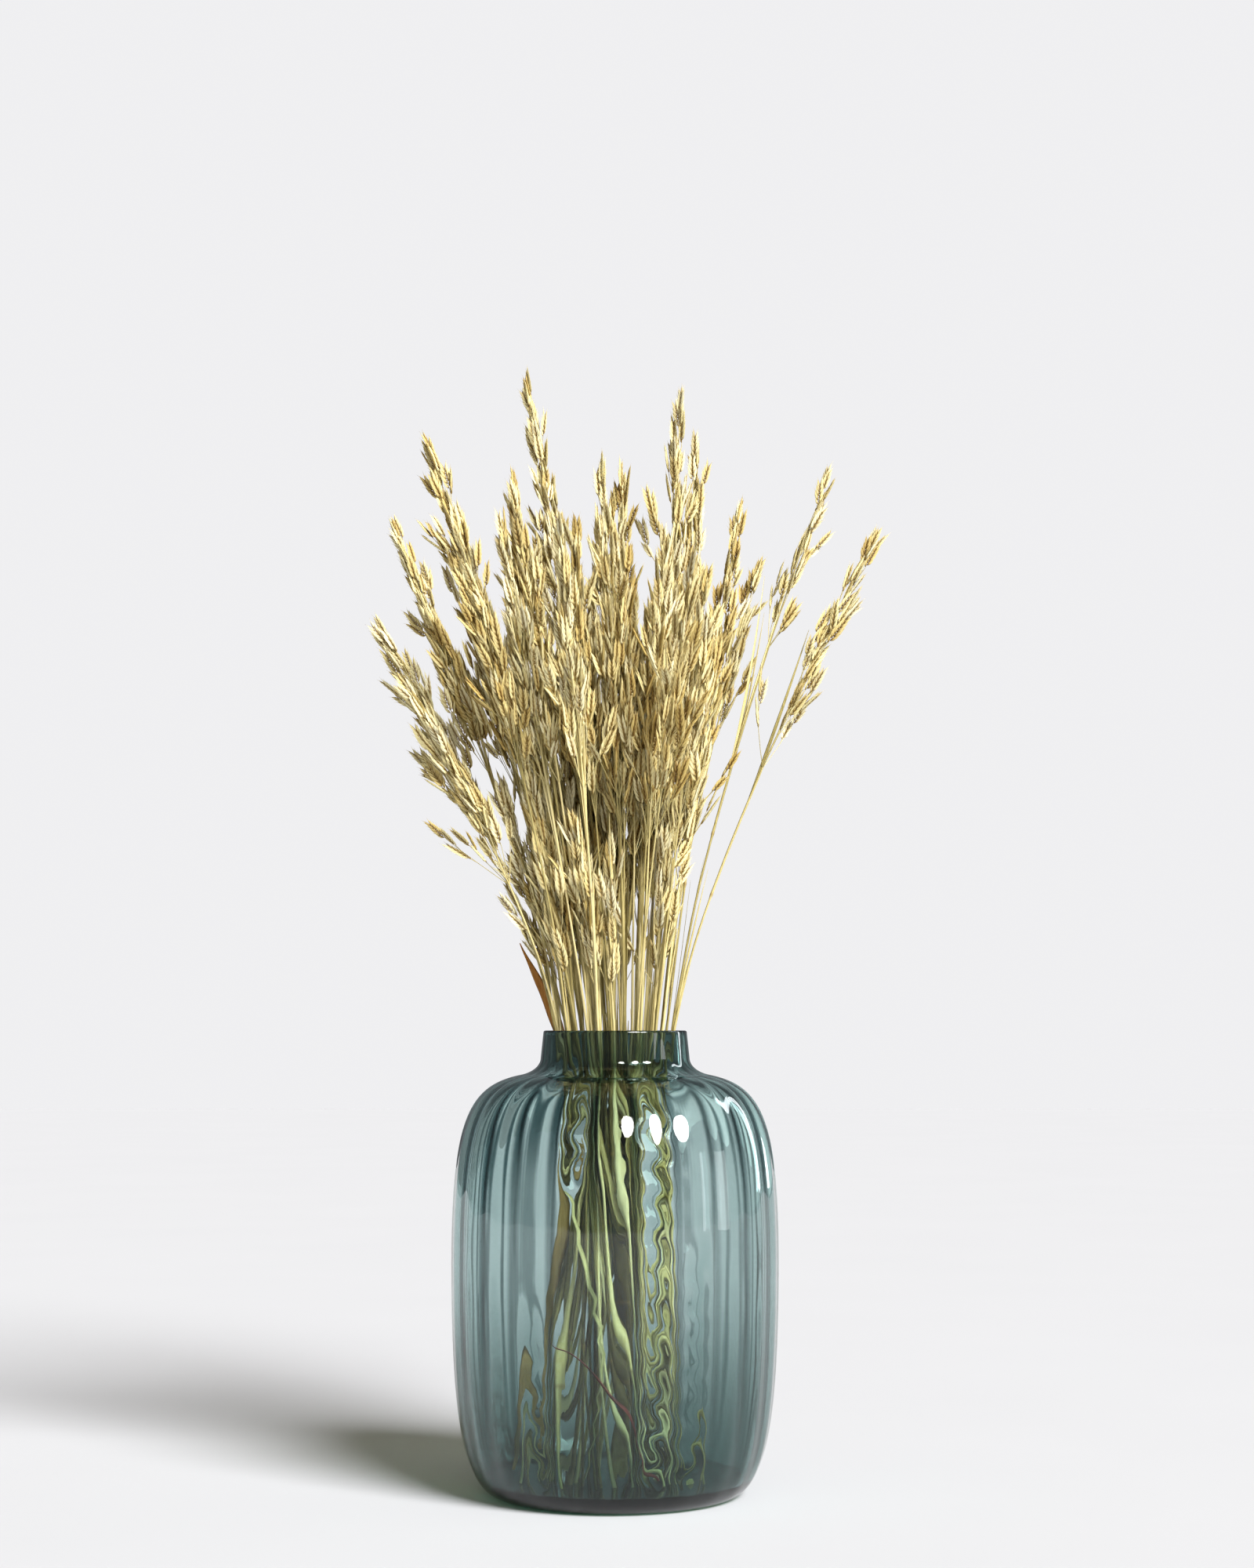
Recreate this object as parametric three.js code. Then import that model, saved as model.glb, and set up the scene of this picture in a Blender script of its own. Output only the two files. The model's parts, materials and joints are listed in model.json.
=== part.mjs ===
// A bunch of dried brome grass standing in a ribbed glass vase.
// Millimetres, +Z up. The origin is the centre of the vase's foot, on the surface it stands on.
// -Y is the front of the bunch, +X its right side.
import * as THREE from "three";

// ---- Glass vase: a mould-blown jar with a short neck, ribbed all round ----
const VASE_HEIGHT = 260;
const FOOT_RADIUS = 65;
const BODY_RADIUS = 92.5;
const BODY_HEIGHT = 120; // height of the widest place
const SHOULDER_HEIGHT = 235; // height where the shoulder meets the neck
const NECK_RADIUS = 42.5; // outside, at the root of the neck
const MOUTH_RADIUS = 41; // outside, at the rim
const WALL = 3.2;
const FLOOR = 9; // thickness of the foot
const RIM_ROUND = 1.2;
const RIB_COUNT = 24;
const RIB_DEPTH = 0.5; // how far a rib stands out of the mean surface
const RIB_STEPS = 3; // facets to one rib

// ---- Bunch: where its stems stand in the vase ----
const GAP = 0.35; // clearance between pieces that touch
const NECK_FILL = { x: 0.94, y: 0.7 }; // share of the neck's inside that the bunch takes
const BUNCH_Y = -6; // the bunch stands a little to the front of the neck
const WAIST_SHARE = 0.7; // its width where it is tightest, as a share of that in the neck
const WAIST_HEIGHT = 0.65 * VASE_HEIGHT; // which is well down in the vase
const SPREAD_DOWN = { x: 0.29, y: 0.13 }; // how fast it opens again below its waist
const TWIST = THREE.MathUtils.degToRad(45); // how far the cut ends are turned under the rim
const LEAN = 0.05; // how far it leans to the left above the rim, in mm for each mm
const MAIN_STEMS = 43;
const MAIN_FILL = 0.95; // share of the half width that the main stems take
const STRAY_RING = 1.07; // the stray stems go round the main ones this far out, in half widths
const STRAY_BOW = 1.3; // how strongly a stray bows out: 1 is a straight line from the rim
const GOLDEN_ANGLE = Math.PI * (3 - Math.sqrt(5));
const SWAY = 0.02; // how far a stem wanders from its line, in half widths

// ---- One stem: a culm that ends in a slender panicle ----
const CULM_RADIUS = 1.2; // at the cut end
const CULM_TIP_RADIUS = 0.8; // under the panicle
const BARE_CULM = { short: 20, long: 165 }; // between the rim and the panicle
const PANICLE_LENGTH = { short: 105, long: 165 };
const PANICLE_RADIUS = 5.6;
const PANICLE_SHARE = 0.34; // most of the room to the next stem that a panicle's radius may take
const PANICLE_OUTLINE = [[0, 0.16], [0.16, 0.8], [0.38, 1], [0.64, 0.8], [0.85, 0.45]];
const STEM_SIDES = 6;
const BLADE_THICKNESS = 0.6;

const GLASS = new THREE.MeshStandardMaterial({
  color: 0x6f9c9c, roughness: 0.05, transparent: true, opacity: 0.5,
});
const STRAW = new THREE.MeshStandardMaterial({ color: 0xcdb978, roughness: 0.75 });
const PALE_LEAF = new THREE.MeshStandardMaterial({ color: 0xb9ae74, roughness: 0.7 });
const BROWN_LEAF = new THREE.MeshStandardMaterial({ color: 0x9a6428, roughness: 0.6 });
const RED_LEAF = new THREE.MeshStandardMaterial({ color: 0x4e1416, roughness: 0.6 });

const bunch = new THREE.Group();

function addPiece(name, geometry, material) {
  const mesh = new THREE.Mesh(geometry, material);
  mesh.name = name;
  bunch.add(mesh);
}

// ---------------------------------------------------------------- vase ----

// The outside from the edge of the foot up to the lip, as [radius, height] points.
function outsideOutline() {
  const outline = new THREE.Path();
  outline.moveTo(FOOT_RADIUS, 0);
  outline.bezierCurveTo(
    FOOT_RADIUS + 0.72 * (BODY_RADIUS - FOOT_RADIUS), 2,
    BODY_RADIUS - 1, 0.35 * BODY_HEIGHT,
    BODY_RADIUS, BODY_HEIGHT,
  );
  outline.bezierCurveTo(
    BODY_RADIUS + 1, SHOULDER_HEIGHT - 25,
    BODY_RADIUS - 8.5, SHOULDER_HEIGHT - 6,
    NECK_RADIUS + 10, SHOULDER_HEIGHT,
  );
  outline.quadraticCurveTo(
    NECK_RADIUS + 1.5, SHOULDER_HEIGHT + 2.5,
    NECK_RADIUS, SHOULDER_HEIGHT + 8,
  );
  outline.lineTo(MOUTH_RADIUS, VASE_HEIGHT - RIM_ROUND);
  return outline.getPoints(7);
}

// The inside is the outside moved in by the wall, down to the floor of the vase.
function insideOutline(outside) {
  const inside = [];
  for (let i = 0; i < outside.length; i++) {
    const before = outside[Math.max(i - 1, 0)];
    const after = outside[Math.min(i + 1, outside.length - 1)];
    const along = after.clone().sub(before).normalize();
    const point = new THREE.Vector2(
      outside[i].x - WALL * along.y,
      outside[i].y + WALL * along.x,
    );
    if (point.y > FLOOR + 1) inside.push(point);
  }
  return inside;
}

function glassVase() {
  const outside = outsideOutline();
  const inside = insideOutline(outside);
  const innerMouth = MOUTH_RADIUS - WALL;
  const profile = [
    new THREE.Vector2(0, 0),
    ...outside,
    new THREE.Vector2(MOUTH_RADIUS - RIM_ROUND, VASE_HEIGHT),
    new THREE.Vector2(innerMouth + RIM_ROUND / 2, VASE_HEIGHT),
    ...inside.reverse(),
    new THREE.Vector2(inside[inside.length - 1].x - WALL, FLOOR),
    new THREE.Vector2(0, FLOOR),
  ];
  const geometry = new THREE.LatheGeometry(profile, RIB_COUNT * RIB_STEPS);
  geometry.rotateX(Math.PI / 2);
  const place = geometry.getAttribute("position");
  for (let i = 0; i < place.count; i++) {
    const x = place.getX(i);
    const y = place.getY(i);
    const z = place.getZ(i);
    const radius = Math.hypot(x, y);
    if (radius < FOOT_RADIUS / 2) continue; // the middle of the foot is plain
    if (z <= 0) continue; // and so is the ring that it stands on
    const out = 1 + (RIB_DEPTH * Math.cos(RIB_COUNT * Math.atan2(y, x))) / radius;
    place.setXYZ(i, x * out, y * out, z);
  }
  return geometry;
}

// --------------------------------------------------------------- stems ----

// Half widths of the main bunch where it passes the rim, so that the strays around it still fit.
const MOUTH_ROOM = MOUTH_RADIUS - WALL - RIB_DEPTH - CULM_RADIUS;
const AT_RIM = {
  x: (NECK_FILL.x * MOUTH_ROOM) / STRAY_RING,
  y: (NECK_FILL.y * MOUTH_ROOM) / STRAY_RING,
};

// Half width of the bunch along x or y at a height: a waist that opens upwards and downwards.
function halfWidth(axis, height) {
  const waist = WAIST_SHARE * AT_RIM[axis];
  const up = Math.sqrt(AT_RIM[axis] ** 2 - waist ** 2) / (VASE_HEIGHT - WAIST_HEIGHT);
  const above = height - WAIST_HEIGHT;
  return Math.hypot(waist, above > 0 ? up * above : SPREAD_DOWN[axis] * above);
}

// The place at a height of the stem that passes the rim at (u, v) half widths from the middle.
// Under the waist the back of the bunch stays straight, which leaves the back of the vase free.
function bunchPoint(u, v, height) {
  const depth = halfWidth("y", height);
  const waist = halfWidth("y", WAIST_HEIGHT);
  const back = height < WAIST_HEIGHT ? STRAY_RING * (depth - waist) : 0;
  const lean = LEAN * Math.max(height - VASE_HEIGHT, 0);
  return new THREE.Vector3(
    u * halfWidth("x", height) - lean,
    BUNCH_Y - back + v * depth,
    height,
  );
}

// The stems turn about the middle of the bunch below the rim, so that they cross each other's
// sight lines like a sheaf's.
function twistedPoint(u, v, height) {
  const turn = TWIST * Math.max(1 - height / VASE_HEIGHT, 0) ** 2;
  const across = u * Math.cos(turn) - v * Math.sin(turn);
  const deep = u * Math.sin(turn) + v * Math.cos(turn);
  return bunchPoint(across, deep, height);
}

// A number from 0 to 1 that differs from stem to stem and stays the same each time.
function spot(index, step) {
  return ((index + 1) * step) % 1;
}

// Bends a piece that was made straight, from z = 0 to its length, so that it follows a line:
// pointAt(share) is the line's point at that share of the length. The piece's x lies across the
// line and its y is the thickness, turned about the line by turn(share).
function bendAlong(geometry, length, pointAt, turn = () => 0) {
  const place = geometry.getAttribute("position");
  const side = new THREE.Vector3();
  const depth = new THREE.Vector3();
  const step = 0.01;
  for (let i = 0; i < place.count; i++) {
    const share = Math.min(Math.max(place.getZ(i) / length, 0), 1);
    const before = pointAt(Math.max(share - step, 0));
    const tangent = pointAt(Math.min(share + step, 1)).sub(before).normalize();
    side.set(Math.cos(turn(share)), Math.sin(turn(share)), 0);
    side.addScaledVector(tangent, -side.dot(tangent)).normalize();
    depth.crossVectors(tangent, side);
    const point = pointAt(share);
    point.addScaledVector(side, place.getX(i)).addScaledVector(depth, place.getY(i));
    place.setXYZ(i, point.x, point.y, point.z);
  }
  geometry.computeVertexNormals();
  return geometry;
}

// A stem from its cut end to the tip of its panicle. route(height) is its centre line, bare the
// culm between rim and panicle, and room the distance to the next stem at the panicle.
function grassStem(route, bare, panicleLength, room) {
  const foot = route(FLOOR + 20).sub(route(FLOOR));
  const tilt = Math.hypot(foot.x, foot.y) / foot.length();
  const footHeight = FLOOR + GAP + CULM_RADIUS * tilt;
  const panicleFoot = VASE_HEIGHT + bare;
  const panicleRadius = Math.min(PANICLE_RADIUS, PANICLE_SHARE * room);
  const above = (height) => height - footHeight;
  const profile = [new THREE.Vector2(0, 0)];
  const culmHeights = [footHeight];
  for (const share of [0.33, 0.6, 0.82, 1]) culmHeights.push(share * VASE_HEIGHT);
  for (const share of [0.33, 0.67]) {
    culmHeights.push(THREE.MathUtils.lerp(VASE_HEIGHT, panicleFoot, share));
  }
  for (const height of culmHeights) {
    const share = above(height) / above(panicleFoot);
    const radius = THREE.MathUtils.lerp(CULM_RADIUS, CULM_TIP_RADIUS, share);
    profile.push(new THREE.Vector2(radius, above(height)));
  }
  for (const [share, fullness] of PANICLE_OUTLINE) {
    const radius = Math.max(fullness * panicleRadius, CULM_TIP_RADIUS);
    profile.push(new THREE.Vector2(radius, above(panicleFoot + share * panicleLength)));
  }
  const length = above(panicleFoot + panicleLength);
  profile.push(new THREE.Vector2(0, length));
  const geometry = new THREE.LatheGeometry(profile, STEM_SIDES);
  geometry.rotateX(Math.PI / 2);
  return bendAlong(geometry, length, (share) => route(footHeight + share * length));
}

// The main stems fill the bunch as seeds fill a sunflower, so that no two come close.
function mainStems() {
  const stems = [];
  for (let i = 0; i < MAIN_STEMS; i++) {
    const out = MAIN_FILL * Math.sqrt((i + 0.5) / MAIN_STEMS);
    stems.push({
      u: out * Math.cos(i * GOLDEN_ANGLE),
      v: out * Math.sin(i * GOLDEN_ANGLE),
      bare: THREE.MathUtils.lerp(BARE_CULM.short, BARE_CULM.long, spot(i, 0.618034)),
      panicle: THREE.MathUtils.lerp(PANICLE_LENGTH.short, PANICLE_LENGTH.long, spot(i, 0.414214)),
      nod: 0,
      phase: 2 * Math.PI * spot(i, 0.732051),
      wave: THREE.MathUtils.lerp(420, 640, spot(i, 0.236068)), // length of one sway
    });
  }
  return stems;
}

// A few main stems stand well above the rest, and a few are short, with panicles that start just
// above the rim. Each entry takes the stem nearest to it and nods its tip to x.
const TALL = [
  { x: -53, v: 0.1, bare: 201, panicle: 185 },
  { x: 41, v: -0.15, bare: 184, panicle: 190 },
  { x: 49, v: 0.35, bare: 192, panicle: 160 },
  { x: -8, v: -0.35, bare: 179, panicle: 150 },
  { x: 4, v: 0.3, bare: 190, panicle: 140 },
  { x: -59, v: -0.35, bare: 168, panicle: 150 },
  { x: -92, v: 0.1, bare: 154, panicle: 150 },
  { x: 74, v: 0.1, bare: 191, panicle: 120 },
];
const SHORT = [
  { x: -50, v: -0.4, bare: 23, panicle: 115 },
  { x: -24, v: -0.85, bare: 29, panicle: 95 },
  { x: 0, v: -0.9, bare: 23, panicle: 85 },
  { x: 34, v: -0.4, bare: 32, panicle: 110 },
  { x: 2, v: 0.85, bare: 31, panicle: 105 },
];

function chooseHeights(stems, wanted) {
  for (const { x, v, bare, panicle } of wanted) {
    const tip = VASE_HEIGHT + bare + panicle;
    const u = (x - bunchPoint(0, 0, tip).x) / halfWidth("x", tip);
    const apart = (stem) => Math.hypot(stem.u - u, stem.v - v);
    const free = stems.filter((stem) => !stem.chosen);
    const nearest = free.reduce((best, stem) => (apart(stem) < apart(best) ? stem : best));
    const nod = x - bunchPoint(nearest.u, nearest.v, tip).x;
    Object.assign(nearest, { bare, panicle, nod, chosen: true });
  }
}

// A main stem wanders a little about its line, and may nod above the rim.
function mainRoute({ u, v, bare, panicle, nod, phase, wave }) {
  return (height) => {
    const angle = phase + (2 * Math.PI * height) / wave;
    const point = twistedPoint(u + SWAY * Math.cos(angle), v + SWAY * Math.sin(angle), height);
    const share = Math.max(height - VASE_HEIGHT, 0) / (bare + panicle);
    point.x += nod * share ** 3;
    return point;
  };
}

// Stray stems pass the neck outside the main ones, at an angle from +X, and bow out to a tip.
// A tip's third number is its height above the rim.
const STRAYS = [
  { angle: -8, tip: [155, -14, 292], panicle: 144 },
  { angle: 14, tip: [128, 12, 332], panicle: 112 },
  { angle: 38, tip: [88, 48, 285], panicle: 120 },
  { angle: 156, tip: [-113, 34, 356], panicle: 150 },
  { angle: 171, tip: [-133, 10, 302], panicle: 130 },
  { angle: 184, tip: [-140, -16, 241], panicle: 106 },
  { angle: 198, tip: [-120, -46, 200], panicle: 90 },
  { angle: 218, tip: [-90, -82, 288], panicle: 130 },
  { angle: 254, tip: [-30, -112, 280], panicle: 125 },
  { angle: 292, tip: [44, -106, 260], panicle: 120 },
  { angle: 66, tip: [40, 112, 300], panicle: 120 },
  { angle: 112, tip: [-52, 116, 285], panicle: 125 },
];

// Up to the rim a stray follows the bunch; above it, it bows out to its own tip.
function strayRoute({ angle, tip }) {
  const u = STRAY_RING * Math.cos(THREE.MathUtils.degToRad(angle));
  const v = STRAY_RING * Math.sin(THREE.MathUtils.degToRad(angle));
  const end = new THREE.Vector3(tip[0], tip[1], VASE_HEIGHT + tip[2]);
  return (height) => {
    const point = twistedPoint(u, v, Math.min(height, VASE_HEIGHT));
    const share = Math.max(height - VASE_HEIGHT, 0) / tip[2];
    return point.lerp(end, share ** STRAY_BOW).setZ(height);
  };
}

// ---------------------------------------------------------- leaf blades ----

// A thin dry blade beside the bunch, tapering to its tip. Each of its points is an angle round the
// bunch in degrees, how far outside the strays it is in mm, and its height as a share of the
// vase's. turns are the angles of its flat side at its two ends, in degrees from +X.
function leafBlade(points, width, turns) {
  const places = points.map(([degrees, outside, share]) => {
    const cos = Math.cos(THREE.MathUtils.degToRad(degrees));
    const sin = Math.sin(THREE.MathUtils.degToRad(degrees));
    const beside = bunchPoint(STRAY_RING * cos, STRAY_RING * sin, Math.min(share, 1) * VASE_HEIGHT);
    return beside.add(new THREE.Vector3(outside * cos, outside * sin, 0)).setZ(share * VASE_HEIGHT);
  });
  const curve = new THREE.CatmullRomCurve3(places);
  const length = curve.getLength();
  const steps = 12;
  const geometry = new THREE.BoxGeometry(1, BLADE_THICKNESS, length, 1, 1, steps);
  geometry.translate(0, 0, length / 2);
  const place = geometry.getAttribute("position");
  for (let i = 0; i < place.count; i++) {
    const share = place.getZ(i) / length;
    const foot = 0.4 + 0.6 * Math.min(share / 0.25, 1);
    const tip = 1 - 0.88 * Math.max((share - 0.5) / 0.5, 0) ** 1.3;
    place.setX(i, place.getX(i) * width * foot * tip);
  }
  const [start, end] = turns.map(THREE.MathUtils.degToRad);
  const turn = (share) => THREE.MathUtils.lerp(start, end, share);
  return bendAlong(geometry, length, (share) => curve.getPointAt(share), turn);
}

const LEAVES = [
  {
    // curls out over the left of the rim
    name: "leaf_blade_over_rim", material: BROWN_LEAF, width: 5, turns: [80, 120],
    points: [
      [146, 3, 0.91], [146, 3.5, 0.97], [150, 5, 1.015], [158, 8, 1.065], [165, 12, 1.11],
      [170, 17, 1.155], [174, 22, 1.195],
    ],
  },
  {
    // the broad pale blade in front of the stems
    name: "leaf_blade_broad", material: PALE_LEAF, width: 9, turns: [10, -30],
    points: [
      [-106, 8, 0.06], [-101, 8, 0.17], [-95, 8, 0.31], [-108, 8, 0.44], [-130, 7, 0.55],
      [-150, 6, 0.66],
    ],
  },
  {
    // a browned blade down the left of the bunch
    name: "leaf_blade_brown", material: BROWN_LEAF, width: 7, turns: [70, 120],
    points: [
      [188, 5, 0.06], [188, 6, 0.19], [187, 6, 0.33], [186, 5, 0.46], [185, 4, 0.62],
      [184, 4, 0.76],
    ],
  },
  {
    // a dark red blade that crosses in front of the broad one's foot
    name: "leaf_blade_red", material: RED_LEAF, width: 6, turns: [-10, 25],
    points: [
      [-71, 14, 0.06], [-77, 14, 0.14], [-87, 15, 0.215], [-102, 16, 0.285], [-124, 16, 0.33],
      [-145, 15, 0.355],
    ],
  },
];

// ------------------------------------------------------------ assembly ----

addPiece("glass_vase", glassVase(), GLASS);

const stems = mainStems();
chooseHeights(stems, TALL);
chooseHeights(stems, SHORT);
const label = (number) => String(number).padStart(2, "0");

stems.forEach((stem, i) => {
  const middle = VASE_HEIGHT + stem.bare + 0.25 * stem.panicle;
  const pitch = Math.sqrt(Math.PI / MAIN_STEMS) * MAIN_FILL; // between neighbours, in half widths
  const room = pitch * Math.min(halfWidth("x", middle), halfWidth("y", middle));
  const geometry = grassStem(mainRoute(stem), stem.bare, stem.panicle, room);
  addPiece(`brome_stem_${label(i + 1)}`, geometry, STRAW);
});

STRAYS.forEach((stray, i) => {
  const bare = stray.tip[2] - stray.panicle;
  const geometry = grassStem(strayRoute(stray), bare, stray.panicle, Infinity);
  addPiece(`stray_stem_${label(i + 1)}`, geometry, STRAW);
});

for (const { name, material, width, turns, points } of LEAVES) {
  addPiece(name, leafBlade(points, width, turns), material);
}

export default bunch;
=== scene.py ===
import json
import math
import random

import bpy
import numpy as np
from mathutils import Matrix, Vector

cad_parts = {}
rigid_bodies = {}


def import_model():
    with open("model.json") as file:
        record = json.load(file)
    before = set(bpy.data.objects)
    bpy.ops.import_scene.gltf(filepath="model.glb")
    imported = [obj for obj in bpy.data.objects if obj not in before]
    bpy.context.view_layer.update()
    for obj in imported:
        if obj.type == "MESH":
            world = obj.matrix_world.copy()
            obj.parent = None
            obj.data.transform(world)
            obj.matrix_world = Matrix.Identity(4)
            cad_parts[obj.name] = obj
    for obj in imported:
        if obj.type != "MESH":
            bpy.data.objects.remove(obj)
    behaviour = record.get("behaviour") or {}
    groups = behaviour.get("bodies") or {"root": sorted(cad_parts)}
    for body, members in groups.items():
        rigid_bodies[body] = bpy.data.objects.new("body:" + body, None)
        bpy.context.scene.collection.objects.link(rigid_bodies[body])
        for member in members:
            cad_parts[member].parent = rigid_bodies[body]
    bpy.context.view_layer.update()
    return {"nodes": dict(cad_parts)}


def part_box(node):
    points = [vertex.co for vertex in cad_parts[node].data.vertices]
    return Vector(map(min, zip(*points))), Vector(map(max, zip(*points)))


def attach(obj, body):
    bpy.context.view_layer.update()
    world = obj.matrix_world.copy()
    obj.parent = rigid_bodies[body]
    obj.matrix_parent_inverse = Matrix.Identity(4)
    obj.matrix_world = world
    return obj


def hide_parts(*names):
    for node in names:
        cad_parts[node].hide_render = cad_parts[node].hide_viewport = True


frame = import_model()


# ---- Camera -----------------------------------------------------------------------------------
# It stands level with the vase's rim, a little over a metre and a half in front of it, and looks
# up by a few degrees, so that the bunch has room above it.
MM = 0.001
EYE_DISTANCE = 1.52
LOOK_UP = 5.25  # degrees
vase_low, vase_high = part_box("glass_vase")
camera = bpy.data.objects.new("camera", bpy.data.cameras.new("camera"))
bpy.context.scene.collection.objects.link(camera)
camera.data.lens = 60.7
camera.data.sensor_width = 36
camera.location = (6.8 * MM, -EYE_DISTANCE, vase_high[2] + 2 * MM)
camera.rotation_euler = (math.radians(90 + LOOK_UP), 0, 0)
bpy.context.scene.camera = camera


# ---- Studio -----------------------------------------------------------------------------------
# A pale matt floor, a pale surround and one broad soft key from the right front. Six small panes, a
# far window and a narrow lamp behind are there for the glass to reflect, and light nothing else.
def flat_sheet(name, size):
    """A square sheet in the XY plane, centred under the object."""
    half = size / 2
    corners = [(x * half, y * half, 0) for x, y in ((-1, -1), (1, -1), (1, 1), (-1, 1))]
    mesh = bpy.data.meshes.new(name)
    mesh.from_pydata(corners, [], [(0, 1, 2, 3)])
    sheet = bpy.data.objects.new(name, mesh)
    bpy.context.scene.collection.objects.link(sheet)
    return sheet


def lamp(name, place, aim, size, watts, colour):
    """A rectangular softbox at a place, turned to shine on the point that it aims at."""
    light = bpy.data.lights.new(name, "AREA")
    light.shape = "RECTANGLE"
    light.size, light.size_y = size
    light.energy = watts
    light.color = colour
    box = bpy.data.objects.new(name, light)
    bpy.context.scene.collection.objects.link(box)
    box.location = place
    direction = np.subtract(aim, place)
    yaw = math.atan2(direction[0], -direction[1])
    pitch = math.atan2(math.hypot(direction[0], direction[1]), -direction[2])
    box.rotation_euler = (pitch, 0, yaw + math.pi)
    return box


middle = (0, 0, 0.33)  # of the whole object, for the lamps to aim at
DAYLIGHT = (1.0, 0.99, 0.97)
PANE_SIZE = (0.035, 0.075)
PANE_WATTS = 0.22
for column in (-1, 0, 1):
    for row in (-1, 1):
        place = (1.05 + 0.21 * column, -1.45 + 0.16 * column, 1.22 + 0.17 * row)
        name = f"window_pane_{column}_{row}"
        pane = lamp(name, place, middle, PANE_SIZE, PANE_WATTS, DAYLIGHT)
        pane.visible_diffuse = False
edge_lamp = lamp("edge_lamp", (1.25, 0.9, 0.75), middle, (0.25, 1.2), 7, (0.9, 0.96, 1.0))
edge_lamp.visible_diffuse = False
far_window = lamp("far_window", (2.4, -0.8, 0.45), middle, (0.30, 0.75), 2.6, (0.96, 0.98, 1.0))
far_window.visible_diffuse = False

key = bpy.data.objects.new("key_lamp", bpy.data.lights.new("key_lamp", "SUN"))
key.data.energy = 6.6
key.data.angle = math.radians(28)
key.data.color = (1.0, 0.985, 0.955)
key.rotation_euler = (math.radians(54), 0, math.radians(36))
bpy.context.scene.collection.objects.link(key)


class Wire:
    """An output socket of a node tree. Arithmetic on it adds the tree's Math nodes."""

    def __init__(self, socket):
        self.socket = socket

    def math(self, operation, *values):
        settings = {"operation": operation}
        return Wire.node(self.socket.id_data, "ShaderNodeMath", settings, dict(enumerate(values)))

    def __add__(self, other):
        return self.math("ADD", self, other)

    def __sub__(self, other):
        return self.math("SUBTRACT", self, other)

    def __rsub__(self, other):
        return self.math("SUBTRACT", other, self)

    def __mul__(self, other):
        return self.math("MULTIPLY", self, other)

    def __truediv__(self, other):
        return self.math("DIVIDE", self, other)

    __radd__ = __add__
    __rmul__ = __mul__

    def between(self, low, high):
        """0 below low, 1 above high and a smooth step between them."""
        settings = {"interpolation_type": "SMOOTHSTEP"}
        sockets = {"Value": self, "From Min": low, "From Max": high}
        return Wire.node(self.socket.id_data, "ShaderNodeMapRange", settings, sockets)

    @staticmethod
    def node(tree, kind, settings=None, sockets=None, output=0):
        """Adds a node: its settings first, then the values or wires of its sockets."""
        node = tree.nodes.new(kind)
        for name, value in (settings or {}).items():
            if name == "stops":
                stops = node.color_ramp.elements
                while len(stops) < len(value):
                    stops.new(0.5)
                for stop, (place, colour) in zip(stops, value):
                    stop.position = place
                    stop.color = (*colour, 1)
            else:
                setattr(node, name, value)
        for name, value in (sockets or {}).items():
            socket = node.inputs[name]
            if isinstance(value, Wire):
                tree.links.new(value.socket, socket)
            else:
                socket.default_value = value
        return Wire(node.outputs[output])


def new_material(name):
    """A material with an empty tree, and that tree."""
    material = bpy.data.materials.new(name)
    material.use_nodes = True
    material.node_tree.nodes.clear()
    return material, material.node_tree


def finish_material(tree, surface, volume=None):
    """Closes a material's tree with its surface and, for glass, the volume inside it."""
    sockets = {"Surface": surface}
    if volume:
        sockets["Volume"] = volume
    output = tree.nodes.new("ShaderNodeOutputMaterial")
    for name, wire in sockets.items():
        tree.links.new(wire.socket, output.inputs[name])


world = bpy.data.worlds.new("surround")
world.use_nodes = True
tree = world.node_tree
tree.nodes.clear()
rightward = Wire.node(tree, "ShaderNodeSeparateXYZ", None, {
    "Vector": Wire.node(tree, "ShaderNodeTexCoord")})
upward = Wire(rightward.socket.node.outputs[2])
rays = tree.nodes.new("ShaderNodeLightPath")
seen, diffuse, through = (Wire(rays.outputs[name]) for name in (
    "Is Camera Ray", "Is Diffuse Ray", "Is Transmission Ray"))
BACKDROP = (0.868, 0.866, 0.880, 1)
ambient = Wire.node(tree, "ShaderNodeMix", {"data_type": "RGBA"}, {
    0: upward.between(0.25, 0.85), 6: (0.27, 0.235, 0.19, 1), 7: (0.165, 0.15, 0.13, 1)}, output=2)
room = Wire.node(tree, "ShaderNodeMix", {"data_type": "RGBA"}, {
    0: diffuse, 6: (0.16, 0.17, 0.18, 1), 7: ambient}, output=2)
wall = Wire.node(tree, "ShaderNodeMix", {"data_type": "RGBA"}, {
    0: rightward.between(-0.20, 0.14), 6: (0.43, 0.43, 0.43, 1), 7: (1.5, 1.5, 1.49, 1)}, output=2)
behind = Wire.node(tree, "ShaderNodeMix", {"data_type": "RGBA"}, {
    0: upward.between(0.10, 0.45), 6: wall, 7: (0.06, 0.065, 0.07, 1)}, output=2)
shade = Wire.node(tree, "ShaderNodeMix", {"data_type": "RGBA"}, {
    0: through, 6: room, 7: behind}, output=2)
shade = Wire.node(tree, "ShaderNodeMix", {"data_type": "RGBA"}, {
    0: seen, 6: shade, 7: BACKDROP}, output=2)
sky = Wire.node(tree, "ShaderNodeBackground", None, {"Color": shade})
tree.links.new(sky.socket, tree.nodes.new("ShaderNodeOutputWorld").inputs["Surface"])
bpy.context.scene.world = world
bpy.context.scene.view_settings.view_transform = "Standard"

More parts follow.
